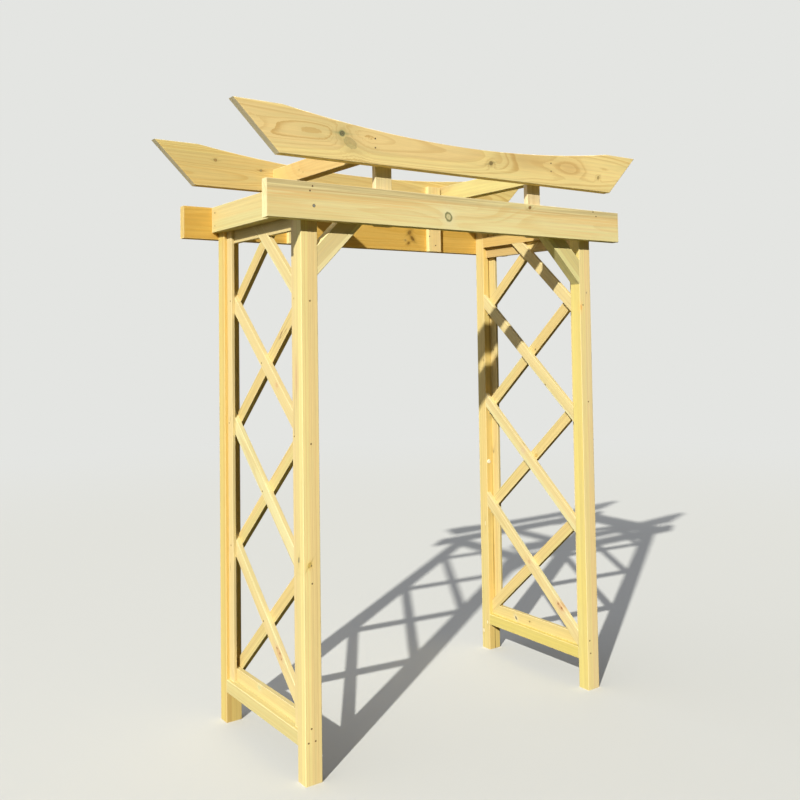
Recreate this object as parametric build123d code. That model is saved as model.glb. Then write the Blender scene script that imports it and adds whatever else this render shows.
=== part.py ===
from build123d import *
import math
import os

# Timber garden arch, in millimetres. X runs across the passage with +X to the right, +Y to the rear
# and +Z up. The origin is on the ground, in the middle between the four posts.

# Posts
passage_width = 1200.0
side_frame_gap = 535.0
post_width = 60.0
post_depth = 50.0
post_height = 1885.0

# Beams on the posts' front and rear faces
beam_height = 120.0
beam_thickness = 34.0
beam_overhang = 135.0

# Rails of the side frames
side_rail_height = 95.0
side_rail_thickness = 25.0
cross_rail_height = 45.0
bottom_rail_clearance = 110.0

# Lattice: a thin stile against each post, then two layers of battens, the second one innermost
stile_width = 38.0
stile_thickness = 12.0
stile_setback = 12.0
batten_width = 45.0
batten_thickness = 18.0
batten_pairs = 4
lattice_head_drop = 38.0
lattice_foot_rise = 50.0

# Braces between the front posts and the front beam, at 45 degrees
brace_width = 68.0
brace_thickness = 44.0
brace_leg = 173.0
brace_lap = 30.0

# Uprights that carry the top boards, each set in from the post beside it
block_width = 67.0
block_thickness = 20.0
block_lap = 84.0
left_block_inset = 228.0
front_right_block_inset = 208.0
rear_right_block_inset = 216.0

# Top boards with upswept ends and a hollow upper edge
tier_gap = 80.0
top_board_thickness = 34.0
top_board_height = 155.0
top_board_base = 1500.0
top_board_splay = 155.0
tip_flat = 167.0
top_board_hollow = 55.0

# Rafters between the top boards, beside the uprights and a little above the boards' lower edges
rafter_thickness = 45.0
rafter_height = 70.0
rafter_rise = 18.0
left_rafter_gap = 11.0

# Planed edges are slightly rounded
arris_radius = 2.0
batten_arris_radius = 1.5

# Faces and levels that several pieces share
LEFT, RIGHT = -1, 1
FRONT, REAR = -1, 1
SIDES = {"left": LEFT, "right": RIGHT}
ENDS = {"front": FRONT, "rear": REAR}

passage_face = passage_width / 2
outer_face = passage_face + post_width
frame_face = side_frame_gap / 2
end_face = frame_face + post_depth
beam_underside = post_height - beam_height
top_rail_underside = post_height - side_rail_height
bottom_rail_top = bottom_rail_clearance + cross_rail_height
inner_layer_face = outer_face - stile_setback - stile_thickness - 2 * batten_thickness
outer_layer_face = inner_layer_face + batten_thickness
stile_face = outer_layer_face + batten_thickness
top_board_underside = post_height + tier_gap
tip_level = top_board_underside + top_board_height


def outward(side, near, far):
    # The stretch between two distances from the middle, on the low or the high side.
    return min(side * near, side * far), max(side * near, side * far)


def block_between(x, y, z):
    # A plain block between three pairs of faces.
    size = [high - low for low, high in (x, y, z)]
    middle = [(low + high) / 2 for low, high in (x, y, z)]
    return Pos(*middle) * Box(*size)


def timber(x, y, z, grain, radius=arris_radius):
    # A length of timber with its four long edges rounded.
    plain = block_between(x, y, z)
    return fillet(plain.edges().filter_by(grain), radius)


def corner_post(side, end):
    return timber(
        outward(side, passage_face, outer_face),
        outward(end, frame_face, end_face),
        (0, post_height),
        Axis.Z,
    )


def beam(end):
    reach = outer_face + beam_overhang
    return timber(
        (-reach, reach),
        outward(end, end_face, end_face + beam_thickness),
        (beam_underside, post_height),
        Axis.X,
    )


def side_rail(side):
    # Outside the posts, cut to fit between the two beams.
    return timber(
        outward(side, outer_face, outer_face + side_rail_thickness),
        (-end_face, end_face),
        (top_rail_underside, post_height),
        Axis.Y,
    )


def cross_rail(side, underside):
    # As wide as the posts and cut to fit between them.
    return timber(
        outward(side, passage_face, outer_face),
        (-frame_face, frame_face),
        (underside, underside + cross_rail_height),
        Axis.Y,
    )


def stile(side, end):
    return timber(
        outward(side, stile_face, stile_face + stile_thickness),
        outward(end, frame_face - stile_width, frame_face),
        (bottom_rail_top, top_rail_underside),
        Axis.Z,
        batten_arris_radius,
    )


def layer_faces(side, layer):
    near = outer_layer_face if layer == "outer" else inner_layer_face
    return outward(side, near, near + batten_thickness)


def batten_line(side, layer, row):
    # The middle line of one diagonal batten, as its upper and lower crossing points in Y and Z.
    # The first row starts at the apex in the middle, and the others run from stile to stile.
    lower_end = side if layer == "outer" else -side
    head = top_rail_underside - lattice_head_drop
    foot = bottom_rail_top + lattice_foot_rise
    half_pitch = (head - foot) / (2 * batten_pairs - 1)
    reach = frame_face - stile_width / 2
    low = (lower_end * reach, head - (2 * row - 1) * half_pitch)
    if row == 1:
        return (0, head), low
    return (-lower_end * reach, head - (2 * row - 3) * half_pitch), low


def slanted_bar(x, line, width, radius):
    # A bar along a line in Y and Z, far longer than the panel, to be cut to it.
    (high_y, high_z), (low_y, low_z) = line
    slope = math.degrees(math.atan2(high_z - low_z, high_y - low_y))
    length = 2 * (side_frame_gap + post_height)
    middle = Pos(0, (high_y + low_y) / 2, (high_z + low_z) / 2)
    bar = block_between(x, (-length / 2, length / 2), (-width / 2, width / 2))
    if radius:
        bar = fillet(bar.edges().filter_by(Axis.Y), radius)
    return middle * Rot(X=slope) * bar


def panel_space(side):
    # The space between the posts and the rails of a side frame.
    return block_between(
        outward(side, passage_face - post_width, outer_face + post_width),
        (-frame_face, frame_face),
        (bottom_rail_top, top_rail_underside),
    )


def lattice_batten(side, layer, row):
    line = batten_line(side, layer, row)
    bar = slanted_bar(layer_faces(side, layer), line, batten_width, batten_arris_radius)
    return bar & panel_space(side)


def head_battens(side):
    # Two short lengths under the top rail, one each side of the batten that ends there.
    whole = timber(
        layer_faces(side, "outer"),
        (-frame_face, frame_face),
        (top_rail_underside - batten_width, top_rail_underside),
        Axis.Y,
        batten_arris_radius,
    )
    line = batten_line(side, "outer", 1)
    return whole - slanted_bar(layer_faces(side, "outer"), line, batten_width, 0)


def foot_batten(side):
    # Lies on the bottom rail, cut to fit under the lowest batten of its layer.
    whole = timber(
        layer_faces(side, "outer"),
        (-frame_face, frame_face),
        (bottom_rail_top, bottom_rail_top + batten_width),
        Axis.Y,
        batten_arris_radius,
    )
    line = batten_line(side, "outer", batten_pairs)
    return whole - slanted_bar(layer_faces(side, "outer"), line, batten_width, 0)


def block_face(side, end):
    # How far from the middle the outer side of an upright stands.
    if side == LEFT:
        return passage_face - left_block_inset
    return passage_face - (front_right_block_inset if end == FRONT else rear_right_block_inset)


def brace(side):
    # Cut plumb against the post and level behind the beam, never past the upright beside it.
    depth = outward(FRONT, end_face - brace_thickness, end_face)
    heel = beam_underside - brace_leg
    length = 4 * (brace_leg + brace_lap + brace_width)
    bar = timber((-length / 2, length / 2), depth, (0, brace_width), Axis.X)
    bar = Pos(side * passage_face, 0, heel) * Rot(Y=side * 45) * bar
    room = block_between(
        outward(side, block_face(side, FRONT), passage_face),
        depth,
        (heel - brace_width, beam_underside + brace_lap),
    )
    return bar & room


def upright(side, end):
    face = block_face(side, end)
    return timber(
        outward(side, face - block_width, face),
        outward(end, end_face - block_thickness, end_face),
        (beam_underside, top_board_underside + block_lap),
        Axis.Z,
    )


def top_board(end):
    base = top_board_base / 2
    tip = base + top_board_splay
    shoulder = tip - tip_flat
    lower_edges = Polyline(
        (-shoulder, tip_level),
        (-tip, tip_level),
        (-base, top_board_underside),
        (base, top_board_underside),
        (tip, tip_level),
        (shoulder, tip_level),
    )
    hollow_edge = ThreePointArc(
        (shoulder, tip_level),
        (0, tip_level - top_board_hollow),
        (-shoulder, tip_level),
    )
    profile = make_face(Plane.XZ * (lower_edges + hollow_edge))
    board = extrude(profile, amount=top_board_thickness / 2, both=True)
    broad_faces = board.faces().filter_by(Axis.Y)
    board = fillet(broad_faces.edges(), arris_radius)
    return Pos(0, end * (end_face + top_board_thickness / 2), 0) * board


def rafter(side):
    # Cut to fit between the top boards, past the outer side of the front upright.
    near = block_face(side, FRONT) + (left_rafter_gap if side == LEFT else 0)
    underside = top_board_underside + rafter_rise
    return timber(
        outward(side, near, near + rafter_thickness),
        (-end_face, end_face),
        (underside, underside + rafter_height),
        Axis.Y,
    )


def side_frame(side_name):
    # Everything of one side between its two posts.
    side = SIDES[side_name]
    pieces = {
        f"{side_name}_side_rail": side_rail(side),
        f"{side_name}_top_rail": cross_rail(side, top_rail_underside),
        f"{side_name}_bottom_rail": cross_rail(side, bottom_rail_clearance),
        f"{side_name}_head_battens": head_battens(side),
        f"{side_name}_foot_batten": foot_batten(side),
    }
    for end_name, end in ENDS.items():
        pieces[f"{side_name}_{end_name}_stile"] = stile(side, end)
    for layer in ("outer", "inner"):
        for row in range(1, batten_pairs + 1):
            pieces[f"{side_name}_{layer}_batten_{row}"] = lattice_batten(side, layer, row)
    return pieces


def garden_arch():
    pieces = {}
    for end_name, end in ENDS.items():
        pieces[f"{end_name}_beam"] = beam(end)
        pieces[f"{end_name}_top_board"] = top_board(end)
        for side_name, side in SIDES.items():
            pieces[f"{end_name}_{side_name}_post"] = corner_post(side, end)
            pieces[f"{end_name}_{side_name}_upright"] = upright(side, end)
    for side_name, side in SIDES.items():
        pieces.update(side_frame(side_name))
        pieces[f"{side_name}_brace"] = brace(side)
        pieces[f"{side_name}_rafter"] = rafter(side)
    return pieces


os.makedirs("parts", exist_ok=True)
for node, piece in garden_arch().items():
    piece.label = node
    export_step(piece, f"parts/{node}.step")
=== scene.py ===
import math
import random

import bmesh
import bpy
from mathutils import Matrix, Vector


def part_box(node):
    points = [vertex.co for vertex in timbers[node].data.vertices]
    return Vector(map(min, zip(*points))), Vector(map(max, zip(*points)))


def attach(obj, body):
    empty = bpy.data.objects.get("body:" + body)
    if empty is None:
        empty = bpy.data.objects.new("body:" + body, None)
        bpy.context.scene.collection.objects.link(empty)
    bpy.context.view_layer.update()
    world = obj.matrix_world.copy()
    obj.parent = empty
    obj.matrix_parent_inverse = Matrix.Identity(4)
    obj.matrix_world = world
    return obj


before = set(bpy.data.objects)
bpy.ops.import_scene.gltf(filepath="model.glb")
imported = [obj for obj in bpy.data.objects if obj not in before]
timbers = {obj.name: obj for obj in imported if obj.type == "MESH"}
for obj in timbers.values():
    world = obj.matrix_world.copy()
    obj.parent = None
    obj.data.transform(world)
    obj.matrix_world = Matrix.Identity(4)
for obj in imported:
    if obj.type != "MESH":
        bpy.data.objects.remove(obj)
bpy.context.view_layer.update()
print("frame loaded:", len(timbers), "timbers")


# Small helpers for colours, objects and node trees

def shade(code, strength=1.0):
    # "#RRGGBB" as it looks on screen, turned into the linear colour that a shader takes
    parts = [int(code[i:i + 2], 16) / 255 for i in (1, 3, 5)]
    linear = [p / 12.92 if p <= 0.04045 else ((p + 0.055) / 1.055) ** 2.4 for p in parts]
    return tuple(strength * p for p in linear) + (1.0,)


def pick(source, names):
    return {name: source[name] for name in names.split()}


def addObject(name, data):
    made = bpy.data.objects.new(name, data)
    bpy.context.scene.collection.objects.link(made)
    return made


def emptyTree(owner):
    # An empty node tree for a material or a world
    owner.use_nodes = True
    owner.node_tree.nodes.clear()
    return owner.node_tree


def spreadOut(tree):
    # Lays the nodes out from left to right, so that the tree can be read
    rows, width, height = 5, 220, 260
    for i, item in enumerate(tree.nodes):
        item.location = (width * (i // rows), -height * (i % rows))


def addNode(tree, kind, inputs=None, family="Shader", **settings):
    # The kind is its type's name without "ShaderNode". An input is a value or a socket.
    made = tree.nodes.new(family + "Node" + kind)
    for name, value in settings.items():
        setattr(made, name, value)
    for name, value in (inputs or {}).items():
        if isinstance(value, bpy.types.NodeSocket):
            tree.links.new(value, made.inputs[name])
        else:
            made.inputs[name].default_value = value
    return made


def closeTree(tree, shader, kind="Material"):
    addNode(tree, "Output" + kind, {"Surface": shader.outputs[0]})
    spreadOut(tree)


def closeSurface(tree, color, roughness, height, bump, others):
    # Ends a material with a shader whose surface rises and falls by a height in metres
    normal = addNode(tree, "Bump", {"Strength": bump, "Distance": 1.0, "Height": height})
    inputs = {"Base Color": color, "Roughness": roughness, "Normal": normal.outputs[0], **others}
    closeTree(tree, addNode(tree, "BsdfPrincipled", inputs))


def calc(tree, operation, *values):
    return addNode(tree, "Math", dict(enumerate(values)), operation=operation).outputs[0]


def times(tree, value, *factors):
    for factor in factors:
        value = calc(tree, "MULTIPLY", value, factor)
    return value


def timesPlus(tree, value, factor, added):
    return calc(tree, "MULTIPLY_ADD", value, factor, added)


def vectorCalc(tree, operation, *values):
    made = addNode(tree, "VectorMath", dict(enumerate(values)), operation=operation)
    return made.outputs["Value" if operation in ("LENGTH", "DOT_PRODUCT") else "Vector"]


def scaled(tree, vector, factor):
    inputs = {0: vector, "Scale": factor}
    return addNode(tree, "VectorMath", inputs, operation="SCALE").outputs[0]


def acrossGrain(tree, vector):
    # How long a vector is without its part along the grain
    return vectorCalc(tree, "LENGTH", vectorCalc(tree, "MULTIPLY", vector, (0.0, 1.0, 1.0)))


def separate(tree, vector):
    return addNode(tree, "SeparateXYZ", {0: vector}).outputs


def ramp(tree, value, low, high):
    # Smoothly from 0 at low to 1 at high, which may be the smaller one
    inputs = {"Value": value, "From Min": low, "From Max": high}
    return addNode(tree, "MapRange", inputs, interpolation_type="SMOOTHSTEP").outputs["Result"]


def tint(tree, factor, under, over, mode="MIX"):
    inputs = {0: factor, 6: under, 7: over}
    return addNode(tree, "Mix", inputs, data_type="RGBA", blend_type=mode).outputs[2]


# Every noise in the looks: its waves per metre along the grain and across it, its detail, and what is
# added to the seed where one group uses two alike
noises = {
    "ringDrift": (2.3, 10.0, 2.0, 0.0),
    "ringEdge": (12.0, 120.0, 2.0, 0.0),
    "streak": (1.3, 130.0, 4.0, 0.0),
    "fibre": (28.0, 900.0, 2.0, 0.0),
    "knotEdge": (110.0, 110.0, 2.0, 0.0),
    "bandDrift": (1.6, 30.0, 2.0, 0.0),
    "bandStreak": (2.0, 240.0, 3.0, 0.0),
    "bandPatch": (2.4, 20.0, 2.0, 4.0),
    "sawDrift": (60.0, 12.0, 2.0, 0.0),
    "sawPatch": (5.0, 14.0, 2.0, 0.0),
    "stain": (2.6, 16.0, 3.0, 0.0),
    "check": (1.0, 26.0, 1.0, 0.0),
    "checkPatch": (3.5, 9.0, 2.0, 9.0),
    "wear": (40.0, 150.0, 3.0, 0.0),
    "blotch": (700.0, 700.0, 3.0, 0.0),
}
# Between which levels of a noise its patches fade in
patchLevels = {
    "bandStreak": (0.3, 0.62),
    "bandPatch": (0.25, 0.6),
    "sawPatch": (0.42, 0.62),
    "stain": (0.46, 0.68),
    "checkPatch": (0.56, 0.63),
    "blotch": (0.4, 0.65),
}


def noise(tree, kind, place, seed):
    # Between 0 and 1, and about 0.5 on average
    along, across, detail, apart = noises[kind]
    if apart:
        seed = calc(tree, "ADD", seed, apart)
    stretched = vectorCalc(tree, "MULTIPLY", place, (along, across, across))
    inputs = {"Vector": stretched, "W": seed, "Scale": 1.0, "Detail": detail}
    return addNode(tree, "TexNoise", inputs, noise_dimensions="4D").outputs


def signedNoise(tree, kind, place, seed):
    # The same, but about 0
    return calc(tree, "SUBTRACT", noise(tree, kind, place, seed)[0], 0.5)


def patches(tree, kind, place, seed):
    # 0 where the noise is low and 1 where it is high
    return ramp(tree, noise(tree, kind, place, seed)[0], *patchLevels[kind])


def startGroup(name, floats, vectors="", colors=""):
    tree = bpy.data.node_groups.new(name, "ShaderNodeTree")
    for kind, labels in (("Vector", vectors), ("Color", colors), ("Float", floats)):
        for label in labels.split():
            tree.interface.new_socket(label, in_out="INPUT", socket_type="NodeSocket" + kind)
    return tree, tree.nodes.new("NodeGroupInput").outputs


def endGroup(tree, **made):
    for label in made:
        kind = "NodeSocketColor" if label == "color" else "NodeSocketFloat"
        tree.interface.new_socket(label, in_out="OUTPUT", socket_type=kind)
    addNode(tree, "GroupOutput", made, family="")
    spreadOut(tree)


def useGroup(tree, name, **inputs):
    return addNode(tree, "Group", inputs, node_tree=bpy.data.node_groups[name]).outputs


# Node groups that the timber materials share. Places are in metres in a timber's own directions:
# X along the grain, Y across the wide face and Z through the thickness.

figureLook = {
    "edgeDepth": 0.0004,  # how far the edges of the rings stray
    "yearWaves": 0.45,  # how often the rings' width changes, per ring
    "yearSpread": 1.6,  # how much it changes
    "palestRing": 0.3,  # how dark the palest ring is, as a share of the darkest
    "lateRise": (0.4, 0.9),  # where in a ring the summer wood fades in
    "lateFall": (1.0, 0.93),  # and out
    "heartEdge": 0.003,
}


def buildFigure():
    # Growth rings about a pith line, cut by the faces: cathedrals, stripes and end rings alike
    look = figureLook
    tree, taken = startGroup("timberFigure", "ringGap wander bend heartRadius seed", "place pith lean")
    place, seed = taken["place"], taken["seed"]
    drift = noise(tree, "ringDrift", place, seed)["Color"]
    drift = vectorCalc(tree, "SUBTRACT", drift, (0.5, 0.5, 0.5))
    drift = scaled(tree, drift, times(tree, taken["wander"], 2.0))  # since it is at most 0.5
    lean = scaled(tree, taken["lean"], separate(tree, place)["X"])
    fromPith = vectorCalc(tree, "SUBTRACT", vectorCalc(tree, "ADD", place, drift), taken["pith"])
    fromPith = vectorCalc(tree, "SUBTRACT", fromPith, lean)
    radius = calc(tree, "ADD", acrossGrain(tree, fromPith), taken["bend"])
    edge = signedNoise(tree, "ringEdge", place, seed)
    radius = timesPlus(tree, edge, look["edgeDepth"], radius)
    turns = calc(tree, "DIVIDE", radius, taken["ringGap"])
    years = {"W": timesPlus(tree, turns, look["yearWaves"], seed), "Scale": 1.0}
    years = addNode(tree, "TexNoise", years, noise_dimensions="1D").outputs[0]
    turns = timesPlus(tree, years, look["yearSpread"], turns)
    share = calc(tree, "FRACT", turns)
    year = calc(tree, "ADD", calc(tree, "FLOOR", turns), seed)
    depth = addNode(tree, "TexWhiteNoise", {"W": year}, noise_dimensions="1D").outputs["Value"]
    depth = timesPlus(tree, depth, 1.0 - look["palestRing"], look["palestRing"])
    late = [ramp(tree, share, *look[levels]) for levels in ("lateRise", "lateFall")]
    heart = calc(tree, "ADD", taken["heartRadius"], look["heartEdge"])
    heart = ramp(tree, radius, heart, taken["heartRadius"])
    endGroup(tree, late=times(tree, *late, depth), heart=heart,
             streak=signedNoise(tree, "streak", place, seed), fibre=signedNoise(tree, "fibre", place, seed))


# Distances from the middle of a knot, in its radii
knotShape = {
    "coreEdge": (1.1, 0.75),
    "bendReach": 2.6,
    "haloReach": 2.0,
    "smearLength": 3.2,
    "smearWidth": 0.5,
    "ringWaves": 11.0,
    "ringDepth": 0.35,  # how much paler the core is between its rings
}


def fallOff(tree, amount, width):
    # 1 in the middle, and next to nothing at twice the width
    ratio = calc(tree, "DIVIDE", amount, width)
    return calc(tree, "EXPONENT", times(tree, ratio, ratio, -1.0))


def buildKnotMark():
    # A branch that runs through the timber. Shape is how far it reaches in each direction, in radii:
    # very far in the direction that the branch runs in.
    look = knotShape
    tree, taken = startGroup("knotMark", "radius rimWidth push ragged seed", "place centre turn shape")
    radius = taken["radius"]
    local = {"Vector": taken["place"], "Location": taken["centre"], "Rotation": taken["turn"],
             "Scale": taken["shape"]}
    local = addNode(tree, "Mapping", local, vector_type="TEXTURE").outputs[0]
    uneven = signedNoise(tree, "knotEdge", taken["place"], taken["seed"])
    share = calc(tree, "DIVIDE", vectorCalc(tree, "LENGTH", local), radius)
    share = times(tree, share, timesPlus(tree, uneven, taken["ragged"], 1.0))
    fromRim = calc(tree, "ABSOLUTE", calc(tree, "SUBTRACT", share, 1.0))
    along = calc(tree, "DIVIDE", separate(tree, local)["X"], radius)
    across = timesPlus(tree, calc(tree, "ABSOLUTE", uneven), radius, acrossGrain(tree, local))
    across = fallOff(tree, calc(tree, "DIVIDE", across, radius), look["smearWidth"])
    rings = calc(tree, "SINE", times(tree, share, look["ringWaves"]))
    endGroup(tree, bend=times(tree, fallOff(tree, share, look["bendReach"]), taken["push"]),
             core=ramp(tree, share, *look["coreEdge"]), rim=ramp(tree, fromRim, taken["rimWidth"], 0.0),
             halo=fallOff(tree, share, look["haloReach"]),
             smear=times(tree, fallOff(tree, along, look["smearLength"]), across),
             rings=timesPlus(tree, rings, 0.5, 0.5))


def buildKnotTone():
    tree, taken = startGroup(
        "knotTone", "core rim halo smear rings dark rimAmount haloAmount smearAmount",
        colors="base tone rimTone haloTone")
    halo, smear, rim = (times(tree, taken[mask], taken[mask + "Amount"])
                        for mask in ("halo", "smear", "rim"))
    ringed = timesPlus(tree, taken["rings"], knotShape["ringDepth"], 1.0 - knotShape["ringDepth"])
    core = times(tree, taken["core"], ringed, taken["dark"])
    color = taken["base"]
    for mask, tone in ((halo, "haloTone"), (smear, "rimTone"), (core, "tone"), (rim, "rimTone")):
        color = tint(tree, mask, color, taken[tone])
    endGroup(tree, color=color)


bandDrift = 3.0  # how far a stripe's edges wander, as a multiple of their softness


def buildToneBand():
    # A stripe along the grain between two levels, with soft streaky edges
    tree, taken = startGroup("toneBand", "low high soft seed", "place")
    place, soft, seed = taken["place"], taken["soft"], taken["seed"]
    level = timesPlus(tree, signedNoise(tree, "bandDrift", place, seed), times(tree, soft, bandDrift),
                      separate(tree, place)["Y"])
    low, high = ([calc(tree, sign, taken[edge], soft) for sign in ("SUBTRACT", "ADD")]
                 for edge in ("low", "high"))
    uneven = times(tree, patches(tree, "bandStreak", place, seed), patches(tree, "bandPatch", place, seed))
    endGroup(tree, mask=times(tree, ramp(tree, level, *low), ramp(tree, level, *reversed(high)), uneven))


sawLook = {"slant": 0.12, "drift": 0.004}


def buildSawMarks():
    # Fine lines across the grain, left by the saw, stronger in some patches than in others
    tree, taken = startGroup("sawMarks", "pitch seed", "place")
    place, seed = taken["place"], taken["seed"]
    parts = separate(tree, place)
    skewed = timesPlus(tree, parts["Y"], sawLook["slant"], parts["X"])
    skewed = timesPlus(tree, signedNoise(tree, "sawDrift", place, seed), sawLook["drift"], skewed)
    turns = times(tree, calc(tree, "DIVIDE", skewed, taken["pitch"]), math.tau)
    endGroup(tree, lines=times(tree, calc(tree, "SINE", turns), patches(tree, "sawPatch", place, seed)))


def buildStain():
    # Where the green preservative shows more
    tree, taken = startGroup("treatmentStain", "seed", "place")
    endGroup(tree, mask=patches(tree, "stain", taken["place"], taken["seed"]))


def buildChecks():
    # Thin drying cracks along the grain
    tree, taken = startGroup("dryingChecks", "width seed", "place")
    place, seed = taken["place"], taken["seed"]
    line = calc(tree, "ABSOLUTE", signedNoise(tree, "check", place, seed))
    line = ramp(tree, line, taken["width"], 0.0)
    endGroup(tree, mask=times(tree, line, patches(tree, "checkPatch", place, seed)))


facingLevels = (0.55, 0.72)


def buildFacing():
    # 1 on faces that look along a direction, either way, and 0 on those that don't
    tree, taken = startGroup("facing", "", "normal direction")
    facing = calc(tree, "ABSOLUTE", vectorCalc(tree, "DOT_PRODUCT", taken["normal"], taken["direction"]))
    endGroup(tree, mask=ramp(tree, facing, *facingLevels))


def buildArrisWearAndSheen():
    # How near a point on the surface is to the timber's edges, from its half sizes
    tree, taken = startGroup("arrisWearAndSheen", "width seed", "place half")
    left = vectorCalc(tree, "SUBTRACT", taken["half"], vectorCalc(tree, "ABSOLUTE", taken["place"]))
    parts = separate(tree, left)
    nearest, second = (calc(tree, choice, parts["X"], parts["Y"]) for choice in ("MINIMUM", "MAXIMUM"))
    second = calc(tree, "MAXIMUM", nearest, calc(tree, "MINIMUM", second, parts["Z"]))
    rough = times(tree, noise(tree, "wear", taken["place"], taken["seed"])[0], 2.0)  # about 1
    endGroup(tree, mask=ramp(tree, second, times(tree, taken["width"], rough), 0.0))


timberAmounts = "heartAmount stainAmount contrast streakAmount fibreAmount sawAmount"


def buildTimberTone():
    # The colours of spring wood, heartwood, stain and summer wood, laid over each other
    tree, taken = startGroup(
        "timberTone", "heart stain late streak fibre lines " + timberAmounts,
        colors="earlyTone heartTone stainTone lateTone")
    color, level = taken["earlyTone"], 1.0
    for mask, amount in (("heart", "heartAmount"), ("stain", "stainAmount"), ("late", "contrast")):
        color = tint(tree, times(tree, taken[mask], taken[amount]), color, taken[mask + "Tone"])
    for grain, amount in (("streak", "streakAmount"), ("fibre", "fibreAmount"), ("lines", "sawAmount")):
        level = timesPlus(tree, taken[grain], taken[amount], level)
    endGroup(tree, color=scaled(tree, color, level))


for build in (buildFigure, buildKnotMark, buildKnotTone, buildToneBand, buildSawMarks, buildStain,
              buildChecks, buildFacing, buildArrisWearAndSheen, buildTimberTone):
    build()
print("node groups built")


# How each timber lies: its middle, its own directions and its half sizes

squareTo = 0.1  # how far a face's normal may lean and still be square to a direction


def timberAxes(piece):
    low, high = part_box(piece)
    size = high - low
    thin = min(range(3), key=lambda axis: size[axis])
    mesh = timbers[piece].data
    sides = [face for face in mesh.polygons if abs(face.normal[thin]) < squareTo]
    across = max(sides, key=lambda face: face.area).normal.copy()
    through = Vector([float(axis == thin) for axis in range(3)])
    grain = through.cross(across).normalized()
    grain, across = (v if sum(v) > 0 else -v for v in (grain, across))
    turn = Matrix((grain, across, grain.cross(across)))
    own = [turn @ vertex.co for vertex in mesh.vertices]
    lowest, highest = (Vector([end(p[i] for p in own) for i in range(3)]) for end in (min, max))
    return turn.transposed() @ ((lowest + highest) / 2), turn.transposed(), (highest - lowest) / 2


# What all the timber has in common. The dictionaries of a family and a piece, below, change what differs
# and add "early" and "late", the colours of spring and summer wood, and "ringGap".
timberLook = {
    "heart": "#D5BA80",
    "stain": "#CCC48A",
    "endTone": "#C8B88D",
    "endRings": 0.72,  # how bright the rings are on the ends
    "endAmount": 0.75,
    "wornAndSheenTone": "#EEE0B8",
    "crack": "#6B5128",
    "wander": 0.005,
    "lean": 0.02,
    "contrast": 0.5,
    "heartAmount": 0.5,
    "heartRadius": 0.045,
    "stainAmount": 0.35,
    "streakAmount": 0.32,
    "fibreAmount": 0.2,
    "sawAmount": 0.022,
    "sawPitch": 0.0026,
    "crackWidth": 0.004,
    "crackAmount": 0.6,
    "arrisWidth": 0.0035,
    "edgeWearAndSheen": 0.3,
    "ringRelief": 0.0002,  # heights in metres, before "bump" scales them
    "fibreRelief": 0.0003,
    "sawRelief": 0.00006,
    "crackDepth": 0.002,
    "bump": 0.55,
    "roughness": 0.66,
    "lateGloss": 0.1,  # how much smoother the summer wood is
    "endRoughness": 0.15,  # how much rougher the ends are
    "specular": 0.25,
    "paintedBroadFaceLight": (1.0, 1.0, 1.0),  # painted light: how much brighter the broad faces are made, in place of the light that falls on them
    "pith": (0.02, 0.05),  # across and through, from the timber's middle
    "knots": [],
    "bands": [],
    "strayKnots": 0,
}

# What a knot is like, unless its own entry says otherwise
knotLook = {
    "stretch": 1.25,
    "tilt": 0.0,
    "reach": 100.0,  # how far it runs through the timber, in radii
    "push": 1.0,  # how far it pushes the rings aside, in radii
    "ragged": 0.6,
    "rimWidth": 0.3,
    "dark": 0.6,
    "rim": 0.5,
    "halo": 0.45,
    "smear": 0.25,
    "tone": "#9C7440",
    "rimTone": "#5C5332",
    "haloTone": "#C8B070",
}
# A swelling of the rings, without a knot in it
plainPush = {"dark": 0.0, "rim": 0.0, "halo": 0.0, "smear": 0.0, "ragged": 0.08}
# Small knots for the faces that the photo doesn't show closely. The spread is how far from the middle
# they may lie, as a share of the half sizes.
strayLook = {"spread": 0.85, "radius": (0.003, 0.006), "dark": (0.2, 0.7), "tilt": (-0.5, 0.5)}
bandSeedStep = 0.37


def onFront(x, z, radius, kind=None, **own):
    # A knot that shows on the front face of its timber
    return {**(kind or {}), "front": (x, z), "radius": radius, **own}


def onLeft(y, z, radius, kind=None, **own):
    return {**(kind or {}), "left": (y, z), "radius": radius, **own}


def strayKnots(count, half, seed):
    draw = random.Random(seed)
    spread = strayLook["spread"]
    return [{"own": [draw.uniform(-spread, spread) * reach for reach in half],
             **{key: draw.uniform(*strayLook[key]) for key in ("radius", "dark", "tilt")}}
            for _ in range(count)]


def placeKnot(piece, knot, middle, turn):
    # The knot's place in the timber's own directions, and whether it runs across and not through
    if "own" in knot:
        return knot["own"], False
    low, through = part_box(piece)[0], turn.col[2]
    if "left" in knot:
        spot, runs = (low.x, *knot["left"]), through.x
    else:
        spot, runs = (knot["front"][0], low.y, knot["front"][1]), through.y
    return turn.transposed() @ (Vector(spot) - middle), abs(runs) < squareTo


def markKnots(tree, place, knots, seed):
    # Each knot's marks, and how far all of them push the rings aside
    bend, marks = 0.0, []
    for i, (knot, centre, sideways) in enumerate(knots):
        shape = (knot["stretch"], knot["reach"], 1.0) if sideways else (knot["stretch"], 1.0, knot["reach"])
        tilt = (0.0, knot["tilt"], 0.0) if sideways else (0.0, 0.0, knot["tilt"])
        mark = useGroup(tree, "knotMark", place=place, centre=centre, turn=tilt, shape=shape, seed=seed + i,
                        push=knot["radius"] * knot["push"], **pick(knot, "radius rimWidth ragged"))
        bend = calc(tree, "ADD", mark["bend"], bend)
        marks.append(mark)
    return bend, marks


def layBands(tree, color, bands, place, seed):
    # Stripes of another tone. Each is its low and high edge, counted from the timber's middle and across
    # it, its tone, how much of that there is, and how soft the edges are.
    for i, (low, high, tone, amount, soft) in enumerate(bands):
        mask = useGroup(tree, "toneBand", place=place, low=low, high=high, soft=soft,
                        seed=seed + bandSeedStep * i)["mask"]
        color = tint(tree, times(tree, mask, amount), color, shade(tone))
    return color


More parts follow.
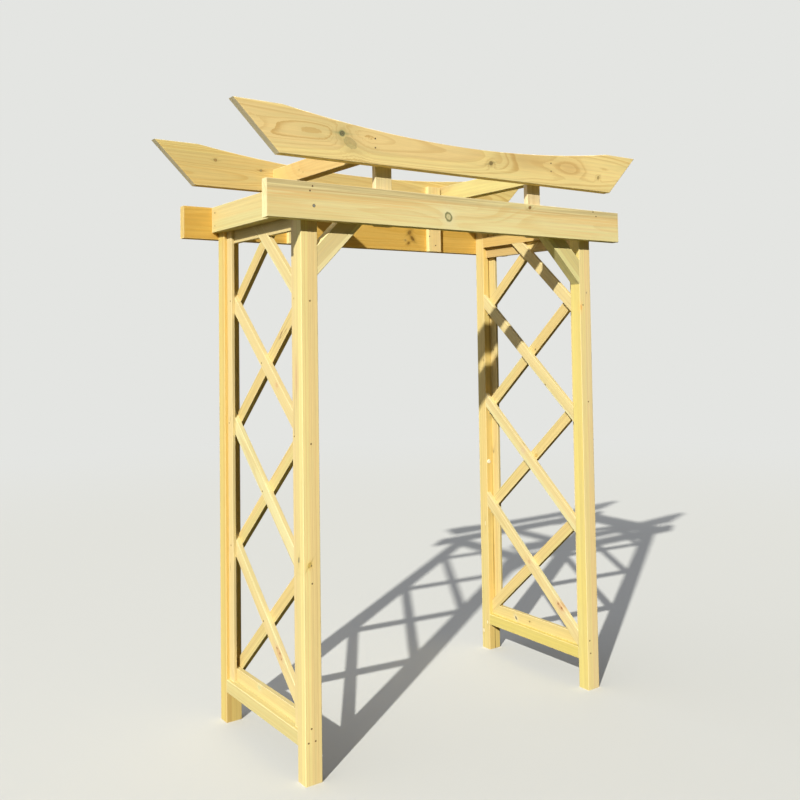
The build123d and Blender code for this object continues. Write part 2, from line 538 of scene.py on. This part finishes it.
def timberMaterial(piece, look):
    middle, turn, half = timberAxes(piece)
    seed = look["seed"]
    draw = random.Random(seed)
    material = bpy.data.materials.new(piece + "Timber")
    tree = emptyTree(material)
    spot = addNode(tree, "TexCoord").outputs
    place = {"Vector": spot["Object"], "Location": middle, "Rotation": turn.to_euler()}
    place = addNode(tree, "Mapping", place, vector_type="TEXTURE").outputs[0]
    there = {"place": place, "seed": seed}
    knots = [{**knotLook, **own} for own in look["knots"] + strayKnots(look["strayKnots"], half, seed)]
    placed = [(knot, *placeKnot(piece, knot, middle, turn)) for knot in knots]
    bend, marks = markKnots(tree, place, placed, seed)
    lean = look.get("leanTo") or [look["lean"] * draw.uniform(-1, 1) for _ in range(2)]
    figure = useGroup(tree, "timberFigure", pith=(0.0, *look["pith"]), lean=(0.0, *lean), bend=bend,
                      **there, **pick(look, "ringGap wander heartRadius"))
    lines = useGroup(tree, "sawMarks", pitch=look["sawPitch"], **there)["lines"]
    stain = useGroup(tree, "treatmentStain", **there)["mask"]
    color = useGroup(
        tree, "timberTone", stain=stain, lines=lines, **pick(figure, "late heart streak fibre"),
        **{name + "Tone": shade(look[name]) for name in ("early", "heart", "stain", "late")},
        **pick(look, timberAmounts))
    color = layBands(tree, color["color"], look["bands"], place, seed)
    for mark, knot in zip(marks, knots):
        color = useGroup(
            tree, "knotTone", base=color, **pick(mark, "core rim halo smear rings"),
            dark=knot["dark"], **{name + "Amount": knot[name] for name in ("rim", "halo", "smear")},
            **{name: shade(knot[name]) for name in ("tone", "rimTone", "haloTone")})["color"]
    paintedLightFace, endFace = (useGroup(tree, "facing", normal=spot["Normal"], direction=turn.col[axis])["mask"]
                          for axis in (2, 0))
    # Painted light: the broad faces are brightened by a gain of their own, in place of more light on them
    color = tint(tree, paintedLightFace, color, (*look["paintedBroadFaceLight"], 1.0), mode="MULTIPLY")
    ringed = tint(tree, figure["late"], shade(look["endTone"]), shade(look["endTone"], look["endRings"]))
    color = tint(tree, times(tree, endFace, look["endAmount"]), color, ringed)
    crack = useGroup(tree, "dryingChecks", width=look["crackWidth"], **there)["mask"]
    color = tint(tree, times(tree, crack, look["crackAmount"]), color, shade(look["crack"]))
    # Pale edges: wear, and on the top boards also a painted highlight along the arrises
    wornAndSheen = useGroup(tree, "arrisWearAndSheen", half=half, width=look["arrisWidth"], **there)["mask"]
    color = tint(tree, times(tree, wornAndSheen, look["edgeWearAndSheen"]), color, shade(look["wornAndSheenTone"]))
    height = times(tree, figure["late"], look["ringRelief"])
    height = timesPlus(tree, figure["fibre"], look["fibreRelief"], height)
    height = timesPlus(tree, lines, look["sawRelief"], height)
    height = timesPlus(tree, crack, -look["crackDepth"] * look["crackAmount"], height)
    roughness = timesPlus(tree, figure["late"], -look["lateGloss"], look["roughness"])
    roughness = timesPlus(tree, endFace, look["endRoughness"], roughness)
    closeSurface(tree, color, roughness, height, look["bump"], {"Specular IOR Level": look["specular"]})
    return material


def dress(piece, look):
    material = timberMaterial(piece, {**timberLook, **look})
    for slot in timbers[piece].material_slots:
        slot.material = material


def dressAll(family, pieces, stage, firstSeed):
    for seed, (piece, own) in enumerate(pieces.items(), firstSeed):
        dress(piece, {**family, "seed": seed, **own})
    print(stage, "dressed")


# Posts: straight-grained, with tan and yellow stripes

postLook = {
    "late": "#C7AB69",
    "heart": "#D7BC7B",
    "contrast": 0.45,
    "ringGap": 0.009,
    "wander": 0.0035,
    "lean": 0.004,
}
posts = {
    "front_left_post": {
        "pith": (-0.034, -0.03), "heartRadius": 0.028, "heart": "#E0D593",
        "heartAmount": 0.8, "early": "#D7C68C", "late": "#C6A86F", "paintedBroadFaceLight": (1.40, 1.32, 1.34),
        "knots": [
            onFront(-0.6397, 0.6776, 0.006, dark=0.45, tilt=0.6, tone="#B0963E", rimTone="#8C7A34",
                    haloTone="#E0C258", smear=0.5),
            onFront(-0.6332, 0.6753, 0.0022, dark=0.9, tone="#5A5236"),
            onLeft(-0.2855, 0.6913, 0.0042, dark=0.85, stretch=2.3, tilt=0.2, tone="#6E6C5C",
                   rimTone="#77735C"),
            onLeft(-0.2645, 0.6594, 0.002, dark=0.8),
            onLeft(-0.2634, 1.0785, 0.0026, dark=0.7, tone="#A8873F"),
            onLeft(-0.279, 1.262, 0.006, dark=0.0, rim=0.0, halo=0.6, haloTone="#D0A680",
                   stretch=5.0)]},
    "front_right_post": {
        "pith": (0.05, -0.02), "heartRadius": 0.05, "early": "#D7C77A",
        "paintedBroadFaceLight": (1.40, 1.38, 1.85),
        "knots": [
            onFront(0.6373, 1.5582, 0.0026, tone="#8C8262"),
            onFront(0.6046, 1.4998, 0.005, stretch=2.0, reach=1.0, tone="#E09A3C", rimTone="#DFA24A",
                    haloTone="#F0C468")]},
    "rear_left_post": {
        "pith": (-0.032, -0.028), "heartRadius": 0.02, "heart": "#CFAE62",
        "heartAmount": 0.55, "early": "#D3BE74", "paintedBroadFaceLight": (1.1, 1.05, 1.05)},
    "rear_right_post": {
        "pith": (-0.05, -0.03), "heartRadius": 0.04, "early": "#D5C282", "late": "#C4A662",
        "paintedBroadFaceLight": (1.2, 1.14, 0.98),
        "bands": [(-0.001, 0.0045, "#76501C", 1.0, 0.0012)],
        "knots": [
            onLeft(0.2766, 1.2832, 0.004, dark=0.5),
            onLeft(0.2844, 0.5531, 0.004, dark=0.5, stretch=3.0, tone="#F4EAC8", rim=0.0),
            onLeft(0.2815, 0.117, 0.0045, dark=0.7, stretch=1.6, tone="#F6EED2", rim=0.0, halo=0.0),
            onLeft(0.3073, 0.0752, 0.006, dark=0.7, stretch=1.6, tone="#F6EED2", rim=0.3,
                   rimTone="#A89C70")]},
}
dressAll(postLook, posts, "posts", firstSeed=11)


# Beams: pale, with orange streaks and a greyer upper edge; the rear one is far browner

beamLook = {
    "early": "#F8EAB0",
    "late": "#E5C47C",
    "heart": "#EFD99A",
    "stain": "#E8E2A6",
    "ringGap": 0.010,
    "lean": 0.03,
    "wander": 0.008,
    "pith": (0.03, 0.07),
    "heartRadius": 0.05,
    "crackAmount": 0.0,
}
beams = {
    "front_beam": {
        "pith": (-0.015, -0.075), "leanTo": (0.012, 0.02), "endTone": "#E9DCAE",
        "endAmount": 0.6,
        "bands": [(0.026, 0.07, "#CAB786", 0.9, 0.012), (0.0, 0.034, "#EFB96A", 0.5, 0.008),
                  (-0.07, -0.02, "#FBF3B4", 0.6, 0.01), (-0.05, -0.01, "#EFBE76", 0.4, 0.01)],
        "knots": [
            onFront(-0.087, 1.8106, 0.0125, dark=0.75, push=0.6, stretch=1.18, tilt=-0.95, rim=0.95,
                    rimWidth=0.42, rimTone="#77784A", tone="#C4B884", haloTone="#F9F2C6", halo=0.85,
                    smear=0.0),
            onFront(0.02, 1.838, 0.016, plainPush, stretch=4.5, push=1.6),
            onFront(0.305, 1.8716, 0.0058, dark=0.95, push=3.2, stretch=1.3, tilt=0.5, tone="#80521F",
                    rim=0.4, smear=0.2)]},
    "rear_beam": {
        "early": "#D8B15A", "late": "#C08E37", "heart": "#CCA144", "stain": "#C39D47",
        "strayKnots": 2, "endTone": "#D8C07E",
        "knots": [
            onFront(0.2273, 1.844, 0.007, dark=0.7, tilt=0.7, tone="#77561C", haloTone="#A0762C",
                    halo=0.8),
            onFront(0.2429, 1.8187, 0.006, dark=0.8, tilt=-0.8, tone="#6C4C18", haloTone="#98702A",
                    halo=0.8, stretch=1.8),
            onFront(0.2212, 1.798, 0.005, dark=0.7, tilt=0.5, tone="#77561C", haloTone="#A0762C",
                    halo=0.7)]},
}
dressAll(beamLook, beams, "beams", firstSeed=21)


# Top boards: flat-sawn, so with cathedrals, a tan heart and several knots

boardLook = {
    "early": "#FFE6A0",
    "late": "#CFA358",
    "heart": "#F1D298",
    "contrast": 0.7,
    "ringGap": 0.0085,
    "wander": 0.009,
    "heartRadius": 0.075,
    "stainAmount": 0.3,
    "crackAmount": 0.0,
    "endTone": "#FAF3DA",
    "endRings": 0.85,
    # stronger pale edges: wear, plus a painted highlight along the boards' arrises
    "edgeWearAndSheen": 0.5,
}
boards = {
    "front_top_board": {
        "pith": (0.004, 0.09), "leanTo": (0.0, 0.04), "wander": 0.011,
        "bands": [(-0.08, -0.04, "#F6E6A2", 0.6, 0.01)],
        "knots": [
            onFront(-0.885, 2.046, 0.012, plainPush, stretch=5.0, push=2.2),
            onFront(0.526, 2.045, 0.016, plainPush, stretch=2.6, push=1.5, halo=0.5,
                    haloTone="#D2A466"),
            onFront(0.300, 2.054, 0.02, plainPush, stretch=3.0, push=1.2, halo=0.45,
                    haloTone="#CFA264"),
            onFront(-0.522, 2.054, 0.0092, dark=0.95, push=2.4, tone="#38423A", rimTone="#7C9068",
                    smear=0.55, halo=0.5, haloTone="#C0AE78", rim=0.7, stretch=1.1),
            onFront(-0.492, 2.026, 0.015, dark=0.4, push=1.2, tone="#9C8F60", rimTone="#8E835A",
                    rim=0.4, rimWidth=0.2, halo=0.35, haloTone="#BCAC78", smear=0.0, tilt=-0.45,
                    stretch=1.6),
            onFront(0.115, 2.021, 0.0068, dark=0.85, push=2.0, tone="#6E6242", smear=0.35, tilt=0.3,
                    halo=0.6, haloTone="#BFA468"),
            onFront(0.684, 2.021, 0.0052, dark=0.5, push=2.4, tone="#9A8A58", tilt=0.8)]},
    "rear_top_board": {
        "pith": (-0.03, 0.07), "leanTo": (0.0, 0.05), "early": "#EBD38A", "late": "#CEA75C",
        "heart": "#D6B87C",
        "knots": [
            onFront(-0.670, 2.0665, 0.005, dark=0.8, push=2.0),
            onFront(-0.4808, 2.0448, 0.005, dark=0.8, push=2.0, tone="#7E8266", rimTone="#B98436",
                    smear=0.9)]},
}
dressAll(boardLook, boards, "top boards", firstSeed=31)


# Rails of the side frames

railLook = {
    "early": "#D0C68E",
    "late": "#C4AA6B",
    "contrast": 0.4,
    "ringGap": 0.007,
}
rails = {
    "left_side_rail": {
        "pith": (0.02, -0.05), "knots": [onLeft(0.2896, 1.862, 0.003, dark=0.5)]},
    "right_side_rail": {
        "pith": (-0.03, 0.04), "early": "#C3AE5F", "late": "#A5813B", "contrast": 0.6},
    "left_top_rail": {"early": "#CFC48F"},
    "right_top_rail": {"early": "#CFB06D", "late": "#B38B48"},
    "left_bottom_rail": {"early": "#CDC086", "stainAmount": 0.15},
    "right_bottom_rail": {"early": "#CEBE6D", "stainAmount": 0.15},
}
dressAll(railLook, rails, "rails", firstSeed=41)


# Lattice: thin stiles and battens, pale and finely sawn

latticeLook = {
    "early": "#D6CD9B",
    "late": "#C4A86F",
    "contrast": 0.45,
    "ringGap": 0.005,
    "wander": 0.006,
    "sawPitch": 0.002,
    "streakAmount": 0.34,
    "piths": (0.01, 0.045),  # nearest and farthest pith from a batten's middle
}
goldenLook = {"early": "#CEBF82", "late": "#B39152", "contrast": 0.6, "streakAmount": 0.5}
softKnot = {"dark": 0.35, "tone": "#C08F60", "rim": 0.25, "rimTone": "#A87C50", "halo": 0.5,
            "haloTone": "#D0AC84", "smear": 0.1}
redKnot = {"dark": 0.85, "tone": "#80502E", "rim": 0.3, "rimTone": "#8E6034", "halo": 0.4,
           "haloTone": "#C49468"}
battenOwn = {
    "right_head_battens": {"early": "#B79B62", "late": "#9C7A44"},
    "left_front_stile": {"early": "#D4C898"},
    "left_rear_stile": {"early": "#D4C898"},
    "left_outer_batten_2": {"knots": [onLeft(-0.098, 1.234, 0.006, softKnot)]},
    "left_outer_batten_3": {"knots": [onLeft(-0.133, 0.712, 0.006, softKnot)]},
    "left_outer_batten_4": {"knots": [
        onLeft(-0.100, 0.343, 0.010, softKnot, stretch=2.0, halo=0.6),
        onLeft(-0.084, 0.358, 0.0036, redKnot),
        onLeft(-0.105, 0.346, 0.003, redKnot),
        onLeft(-0.117, 0.330, 0.0024, redKnot)]},
    "left_inner_batten_2": {"knots": [
        onLeft(-0.100, 1.408, 0.003, softKnot, dark=0.7, tone="#84703E", stretch=3.5, smear=0.7)]},
    "right_inner_batten_2": {"knots": [onLeft(-0.112, 1.186, 0.0028, dark=0.9, tone="#6E5638")]},
    "right_inner_batten_3": {"knots": [
        onLeft(0.030, 0.9016, 0.007, softKnot, haloTone="#CEB4A0", dark=0.0)]},
    "right_inner_batten_4": {"knots": [
        onLeft(0.006, 0.4366, 0.006, softKnot),
        onLeft(-0.172, 0.291, 0.010, softKnot, stretch=1.8, halo=0.7),
        onLeft(-0.160, 0.299, 0.0036, redKnot),
        onLeft(-0.179, 0.286, 0.0045, redKnot)]},
    "right_outer_batten_2": {"knots": [onLeft(-0.0395, 1.3314, 0.0034, dark=0.9, tone="#5E4A2C")]},
    "right_outer_batten_3": {"knots": [
        onLeft(-0.031, 0.885, 0.006, dark=0.5, tone="#BF963E", rimTone="#80682E", rim=0.6,
               haloTone="#D6BE74")]},
    "right_foot_batten": {
        "early": "#CDC17D",
        "knots": [
            onLeft(0.1127, 0.1722, 0.0048, dark=0.9, stretch=1.6, tilt=0.9, tone="#4C4A3A",
                   haloTone="#DAD6C4", halo=0.6),
            onLeft(0.0293, 0.1774, 0.0034, dark=0.9, tone="#6E5A32")]},
    "left_foot_batten": {
        "early": "#CCC388",
        "knots": [
            onLeft(0.0502, 0.188, 0.006, dark=0.4, tone="#AEB48C", rimTone="#A8AC84",
                   haloTone="#DEDCAE")]},
    "right_rear_stile": {
        "early": "#CDBF84", "knots": [onLeft(0.2497, 1.3289, 0.0034, dark=0.9, tone="#5E4A2C")]},
}
firstBattenSeed = 50
lattice = [name for name in sorted(timbers) if "batten" in name or "stile" in name]
for seed, piece in enumerate(lattice, firstBattenSeed):
    draw = random.Random(seed)
    angle = draw.uniform(0, math.tau)
    reach = draw.uniform(*latticeLook["piths"])
    pith = (reach * math.cos(angle), reach * math.sin(angle))
    golden = goldenLook if piece.startswith(("left_inner", "right_outer")) else {}
    dress(piece, {**latticeLook, **golden, "seed": seed, "pith": pith, **battenOwn.get(piece, {})})
print("lattice dressed:", len(lattice), "pieces")


# Braces and uprights

braceLook = {
    "early": "#FFF0B7",
    "late": "#ECD389",
    "stain": "#E9E2A0",
    "stainAmount": 0.5,
    "contrast": 0.4,
    "ringGap": 0.006,
}
frontUpright = {"early": "#E5D2A9", "late": "#CFB27A", "sawPitch": 0.004}
braces = {
    "left_brace": {},
    "right_brace": {"early": "#F2EAA9", "stain": "#E0DC96"},
    "front_left_upright": frontUpright,
    "front_right_upright": frontUpright,
    "rear_left_upright": {"early": "#EDD296"},
    "rear_right_upright": {"early": "#EDD296"},
}
dressAll(braceLook, braces, "braces and uprights", firstSeed=91)


# Rafters: the left one orange, the right one bright and clear

rafterLook = {"contrast": 0.4, "ringGap": 0.012, "stainAmount": 0.1, "crackAmount": 0.0}
rafters = {
    "left_rafter": {
        "early": "#D1B375", "late": "#C29452", "heart": "#CFA264",
        "knots": [
            onLeft(0.1097, 2.0184, 0.0028, tone="#B8742E"),
            onLeft(0.0794, 2.0059, 0.0022, tone="#B8742E"),
            onLeft(0.29, 2.018, 0.045, plainPush, halo=0.8, haloTone="#DCC37C")]},
    "right_rafter": {
        "early": "#D1C482", "late": "#C8AD72", "heart": "#CFBC80",
        "knots": [
            onLeft(0.30, 2.050, 0.014, plainPush, stretch=2.6, halo=0.7, haloTone="#BEA06E")]},
}
dressAll(rafterLook, rafters, "rafters", firstSeed=97)


# Fasteners: screws and small nails, each on a darker disc that is a bruise in the wood and painted shade of
# the recess the head sits in, and one screw cover

fastenerLook = {
    "screwRadius": 0.0042,
    "recessArm": 0.0024,
    "recessHalf": 0.0005,
    "recessDepth": 0.000275,
    "nailRadius": 0.0023,
    "proud": 0.0003,
    "bruiseShadeShare": 1.35,  # the radius of the bruise with its painted recess shade, as a share of the head's
    "bruiseShadeHeight": 0.0001,
    "capRadius": 0.009,
    "capHeight": 0.003,
    "sides": 20,
    "blotchSeed": 3.0,
    "blotchRelief": 0.0002,
    "blotchRoughness": 0.3,
    "bump": 0.5,
}
# From the rim to the middle, as shares of the radius and of the height
headOutlines = {
    "bruiseShade": ((1.0, 0.0), (0.9, 1.0)),
    "nail": ((1.0, 0.0), (0.95, 0.7), (0.6, 1.0)),
    "cap": ((1.0, 0.0), (0.97, 0.6), (0.8, 1.0), (0.3, 1.0), (0.2, 0.5)),
    "screw": ((1.0, 0.0), (1.0, 0.6), (0.93, 1.0)),
}
# Colour, colour of the blotches, metallic and roughness, in the order of the material slots
finishes = {
    "bruiseAndRecessShade": ("#A07C48", "#6E5230", 0.0, 0.8),
    "galvanisedSteel": ("#A9AFA8", "#8E948C", 0.7, 0.45),
    "rustedSteel": ("#5A3E2C", "#3C2A20", 0.3, 0.7),
    "weatheredSteel": ("#8A6C3E", "#6A5030", 0.2, 0.75),
    "paintedSteel": ("#FFFDF2", "#D8D2B8", 0.0, 0.5),
}
slotOf = {name: slot for slot, name in enumerate(finishes)}


def plainMaterial(name, color, patchTone, metallic, roughness):
    # Metal, or bruised wood with painted recess shade, with blotches
    look = fastenerLook
    material = bpy.data.materials.new(name)
    tree = emptyTree(material)
    place = addNode(tree, "TexCoord").outputs["Object"]
    blotch = noise(tree, "blotch", place, look["blotchSeed"])[0]
    mixed = tint(tree, ramp(tree, blotch, *patchLevels["blotch"]), shade(color), shade(patchTone))
    height = times(tree, blotch, look["blotchRelief"])
    rough = timesPlus(tree, blotch, look["blotchRoughness"], roughness - look["blotchRoughness"] / 2)
    closeSurface(tree, mixed, rough, height, look["bump"], {"Metallic": metallic})
    return material


fastenerMaterials = [plainMaterial(name, *finish) for name, finish in finishes.items()]


def joinRings(mesh, lower, upper, slot):
    for i in range(len(lower)):
        j = (i + 1) % len(lower)
        mesh.faces.new((lower[i], lower[j], upper[j], upper[i])).material_index = slot


def addRings(mesh, kind, slot, radius, height, base=0.0):
    # Rings of points up the outline of a head, each joined to the next. Gives back the last one.
    turns = [math.tau * i / fastenerLook["sides"] for i in range(fastenerLook["sides"])]
    rings = []
    for share, rise in headOutlines[kind]:
        reach, level = radius * share, base + height * rise
        rings.append([mesh.verts.new((reach * math.cos(t), reach * math.sin(t), level)) for t in turns])
    for lower, upper in zip(rings, rings[1:]):
        joinRings(mesh, lower, upper, slot)
    return rings[-1]


# A darker disc under a head: a bruise in the wood, with painted shade of the recess around the head
def addBruiseAndRecessShade(mesh, radius):
    look, slot = fastenerLook, slotOf["bruiseAndRecessShade"]
    top = addRings(mesh, "bruiseShade", slot, radius * look["bruiseShadeShare"], look["bruiseShadeHeight"])
    mesh.faces.new(top).material_index = slot


def addNail(mesh, slot):
    look = fastenerLook
    addBruiseAndRecessShade(mesh, look["nailRadius"])
    top = addRings(mesh, "nail", slot, look["nailRadius"], look["proud"], look["bruiseShadeHeight"])
    mesh.faces.new(top).material_index = slot


def addCap(mesh, slot):
    # A painted cover over a screw, with a dimple of bare metal in its middle
    top = addRings(mesh, "cap", slot, fastenerLook["capRadius"], fastenerLook["capHeight"])
    mesh.faces.new(top).material_index = slotOf["galvanisedSteel"]


def addScrew(mesh, slot, turn):
    # A flat head with a rounded rim and a cross pressed into it
    look = fastenerLook
    arm, half, level = look["recessArm"], look["recessHalf"], look["bruiseShadeHeight"] + look["proud"]
    addBruiseAndRecessShade(mesh, look["screwRadius"])
    top = addRings(mesh, "screw", slot, look["screwRadius"], level)
    corners = []
    for quarter in range(4):
        spin = Matrix.Rotation(turn + quarter * math.tau / 4, 2)
        corners += [spin @ Vector(p) for p in ((half, -half), (arm, -half), (arm, half))]
    edge, floor = ([mesh.verts.new((p.x, p.y, z)) for p in corners]
                   for z in (level, level - look["recessDepth"]))
    joinRings(mesh, floor, edge, slot)
    mesh.faces.new(floor).material_index = slot
    outline = [mesh.edges.get(pair) or mesh.edges.new(pair)
               for loop in (top, edge) for pair in zip(loop, loop[1:] + loop[:1])]
    filled = bmesh.ops.triangle_fill(mesh, use_beauty=True, use_dissolve=False, edges=outline)
    for item in filled["geom"]:
        if isinstance(item, bmesh.types.BMFace):
            item.material_index = slot


def onFace(piece, outward, across, height):
    # A place on one of a piece's faces, from the X or Y along it and its height
    low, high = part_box(piece)
    face = high if sum(outward) > 0 else low
    return (across, face.y, height) if outward.y else (face.x, across, height)


def middleOf(piece, axis):
    low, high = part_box(piece)
    return (low[axis] + high[axis]) / 2


def fastenerPiece(name, heads):
    # Each head: its kind, its finish, the timber and the face that it is on, and where on that face
    joined = bmesh.new()
    draw = random.Random(name)
    for kind, finish, timber, outward, across, height in heads:
        single = bmesh.new()
        if kind == "screw":
            addScrew(single, slotOf[finish], draw.uniform(0, math.tau))
        else:
            {"cap": addCap, "nail": addNail}[kind](single, slotOf[finish])
        turn = outward.to_track_quat("Z", "Y").to_matrix().to_4x4()
        single.transform(Matrix.Translation(onFace(timber, outward, across, height)) @ turn)
        held = bpy.data.meshes.new("head")
        single.to_mesh(held)
        joined.from_mesh(held)
        bpy.data.meshes.remove(held)
        single.free()
    bmesh.ops.recalc_face_normals(joined, faces=joined.faces)
    mesh = bpy.data.meshes.new(name)
    joined.to_mesh(mesh)
    joined.free()
    for material in fastenerMaterials:
        mesh.materials.append(material)
    piece = addObject(name, mesh)
    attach(piece, "root")


front, rear = Vector((0, -1, 0)), Vector((0, 1, 0))

# X and height on the front beam. The rear beam has the same, turned about.
beamMarks = (("nail", -0.6347, 1.8716), ("nail", -0.6440, 1.8565), ("screw", -0.630, 1.8095),
             ("nail", 0.6493, 1.8797), ("nail", 0.6661, 1.8627))
boardNails = {"across": (-0.393, 0.4205), "heights": (2.021, 2.052)}
heads = []
for kind, x, z in beamMarks:
    finish = "galvanisedSteel" if kind == "screw" else "rustedSteel"
    heads += [(kind, finish, "front_beam", front, x, z), (kind, finish, "rear_beam", rear, -x, z)]
heads += [("nail", "rustedSteel", board, outward, x, z)
          for x in boardNails["across"] for z in boardNails["heights"]
          for board, outward in (("front_top_board", front), ("rear_top_board", rear))]
fastenerPiece("beam_fasteners", heads)

# How far a nail is from the middle of its upright or post, and its height
uprightNails = ((-0.029, 1.8306), (0.003, 1.7917))
postNails = {
    "left": ((0.001, 1.5092), (0.0, 1.0558), (-0.0006, 0.6193), (-0.008, 0.173), (0.006, 0.1325),
             (-0.019, 0.1313)),
    "right": ((-0.014, 1.509), (0.0051, 1.1238), (-0.0183, 0.1897), (-0.0149, 0.1406)),
}
coverPlace = (0.612, 0.8288)
heads = [("nail", "rustedSteel", timber, outward, middleOf(timber, 0) + across, z)
         for end, outward in (("front", rear), ("rear", front))
         for timber in (f"{end}_left_upright", f"{end}_right_upright") for across, z in uprightNails]
fastenerPiece("upright_fasteners", heads)
heads = [("nail", "weatheredSteel", f"{end}_{side}_post", outward,
          middleOf(f"{end}_{side}_post", 0) + across, z)
         for end, outward in (("front", front), ("rear", rear))
         for side, marks in postNails.items() for across, z in marks]
heads.append(("cap", "paintedSteel", "rear_right_post", front, *coverPlace))
fastenerPiece("post_fasteners", heads)

# Nails of the side frames, on the faces that look away from the passage
railNails = {"end": 0.026, "under": 0.024, "over": 0.023}  # how far in from the rail's edges
battenNails = {"rows": (2, 3, 4), "across": 0.014, "drop": 0.003}  # from the middle of the batten
stileNails = {"front": ((-0.2406, 1.075), (-0.255, 0.685), (-0.247, 1.520)),
              "rear": ((0.241, 1.5316), (0.2564, 1.084), (0.248, 0.640))}
heads = []
for side, sign in (("left", -1), ("right", 1)):
    outward = Vector((sign, 0, 0))
    rail = f"{side}_side_rail"
    low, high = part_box(rail)
    heads += [("nail", "rustedSteel", rail, outward, y, z)
              for y in (low.y + railNails["end"], high.y - railNails["end"])
              for z in (low.z + railNails["under"], high.z - railNails["over"])]
    heads += [("nail", "rustedSteel", batten, outward, -sign * battenNails["across"],
               middleOf(batten, 2) - battenNails["drop"])
              for batten in [f"{side}_outer_batten_{row}" for row in battenNails["rows"]]]
    heads += [("nail", "weatheredSteel", f"{side}_{end}_stile", outward, y, z)
              for end, marks in stileNails.items() for y, z in marks]
fastenerPiece("side_frame_fasteners", heads)
print("fasteners placed")


# Floor, backdrop and light

studio = {
    "floorSize": 60.0,
    "floorTone": "#CFD1D0",
    "floorBounce": "#565130",
    "backTone": "#E4E5E2",
    "backStrength": 1.0,
    "fadeStart": 3.0,
    "fadeEnd": 9.0,
    "fillStrength": 0.32,
    "fillSide": (-0.55, 0.8, 0.25),  # where the fill is brightest
    "fillLean": 0.6,  # how much brighter than elsewhere
    "fillTone": "#F6F7FB",
    "keyStrength": 5.0,
    "keyTone": "#FFFBF0",
    "keyAngle": 1.0,
    "keyTravel": (1.447, 1.0, -1.06),
}


def rayKinds(tree, *kinds):
    path = addNode(tree, "LightPath").outputs
    total = path[kinds[0]]
    for kind in kinds[1:]:
        total = calc(tree, "MAXIMUM", total, path[kind])
    return total


def glow(tree, kind, tone, strength):
    return addNode(tree, kind, {"Color": shade(tone), "Strength": strength}).outputs[0]


def mixShaders(tree, factor, under, over):
    return addNode(tree, "MixShader", {0: factor, 1: under, 2: over})


def floorMaterial():
    # Pale to the camera, duller to the light that it throws back, and fading into the backdrop
    material = bpy.data.materials.new("studioFloor")
    tree = emptyTree(material)
    seen = rayKinds(tree, "Is Camera Ray")
    color = tint(tree, seen, shade(studio["floorBounce"]), shade(studio["floorTone"]))
    matte = addNode(tree, "BsdfDiffuse", {"Color": color}).outputs[0]
    place = addNode(tree, "TexCoord").outputs["Object"]
    faded = ramp(tree, vectorCalc(tree, "LENGTH", place), studio["fadeStart"], studio["fadeEnd"])
    backdrop = glow(tree, "Emission", studio["backTone"], studio["backStrength"])
    closeTree(tree, mixShaders(tree, times(tree, faded, seen), matte, backdrop))
    return material


def buildFloor():
    half = studio["floorSize"] / 2
    mesh = bpy.data.meshes.new("studioFloor")
    mesh.from_pydata([(-half, -half, 0), (half, -half, 0), (half, half, 0), (-half, half, 0)], [],
                     [(0, 1, 2, 3)])
    mesh.materials.append(floorMaterial())
    floor = addObject("studioFloor", mesh)


def buildWorld():
    world = bpy.data.worlds.new("studioWorld")
    bpy.context.scene.world = world
    tree = emptyTree(world)
    way = addNode(tree, "TexCoord").outputs["Generated"]
    side = vectorCalc(tree, "DOT_PRODUCT", way, studio["fillSide"])
    level = timesPlus(tree, side, studio["fillLean"], studio["fillStrength"])
    level = calc(tree, "MAXIMUM", level, 0.0)
    fill = glow(tree, "Background", studio["fillTone"], level)
    back = glow(tree, "Background", studio["backTone"], studio["backStrength"])
    seen = rayKinds(tree, "Is Camera Ray", "Is Glossy Ray", "Is Transmission Ray")
    closeTree(tree, mixShaders(tree, seen, fill, back), "World")


def buildKeyLight():
    lamp = bpy.data.lights.new("keyLight", "SUN")
    lamp.energy = studio["keyStrength"]
    lamp.color = shade(studio["keyTone"])[:3]
    lamp.angle = math.radians(studio["keyAngle"])
    key = addObject("keyLight", lamp)
    key.rotation_mode = "QUATERNION"
    key.rotation_quaternion = Vector(studio["keyTravel"]).to_track_quat("-Z", "Y")


# The camera stands where the photo was taken from. Its angles are in degrees, the heading from +Y
# towards +X, and its middle row and focal length are in pixels of the photo.

cameraPlace = {
    "at": (-2.0376, -2.8047, 1.3837),
    "heading": 35.2834,
    "rise": 2.3703,
    "tilt": -0.8140,
    "focalPixels": 893.87,
    "middleRow": 301.97,
    "pictureSize": 800,
    "sensor": 36.0,
}


def buildCamera():
    look = cameraPlace
    heading, rise, tilt = (math.radians(look[name]) for name in ("heading", "rise", "tilt"))
    level = Vector((math.sin(heading), math.cos(heading), 0))
    right = Vector((math.cos(heading), -math.sin(heading), 0))
    forward = math.cos(rise) * level + Vector((0, 0, math.sin(rise)))
    up = -math.sin(rise) * level + Vector((0, 0, math.cos(rise)))
    pictureRight = math.cos(tilt) * right + math.sin(tilt) * up
    pictureUp = -math.sin(tilt) * right + math.cos(tilt) * up
    lens = bpy.data.cameras.new("photoCamera")
    lens.sensor_width = look["sensor"]
    lens.lens = look["focalPixels"] / look["pictureSize"] * look["sensor"]
    lens.shift_y = (look["middleRow"] - look["pictureSize"] / 2) / look["pictureSize"]
    camera = addObject("photoCamera", lens)
    turn = Matrix((pictureRight, pictureUp, -forward)).transposed()
    camera.matrix_world = Matrix.Translation(look["at"]) @ turn.to_4x4()
    bpy.context.scene.camera = camera


buildFloor()
buildWorld()
buildKeyLight()
buildCamera()
bpy.context.scene.view_settings.view_transform = "Standard"
print("studio and camera set")
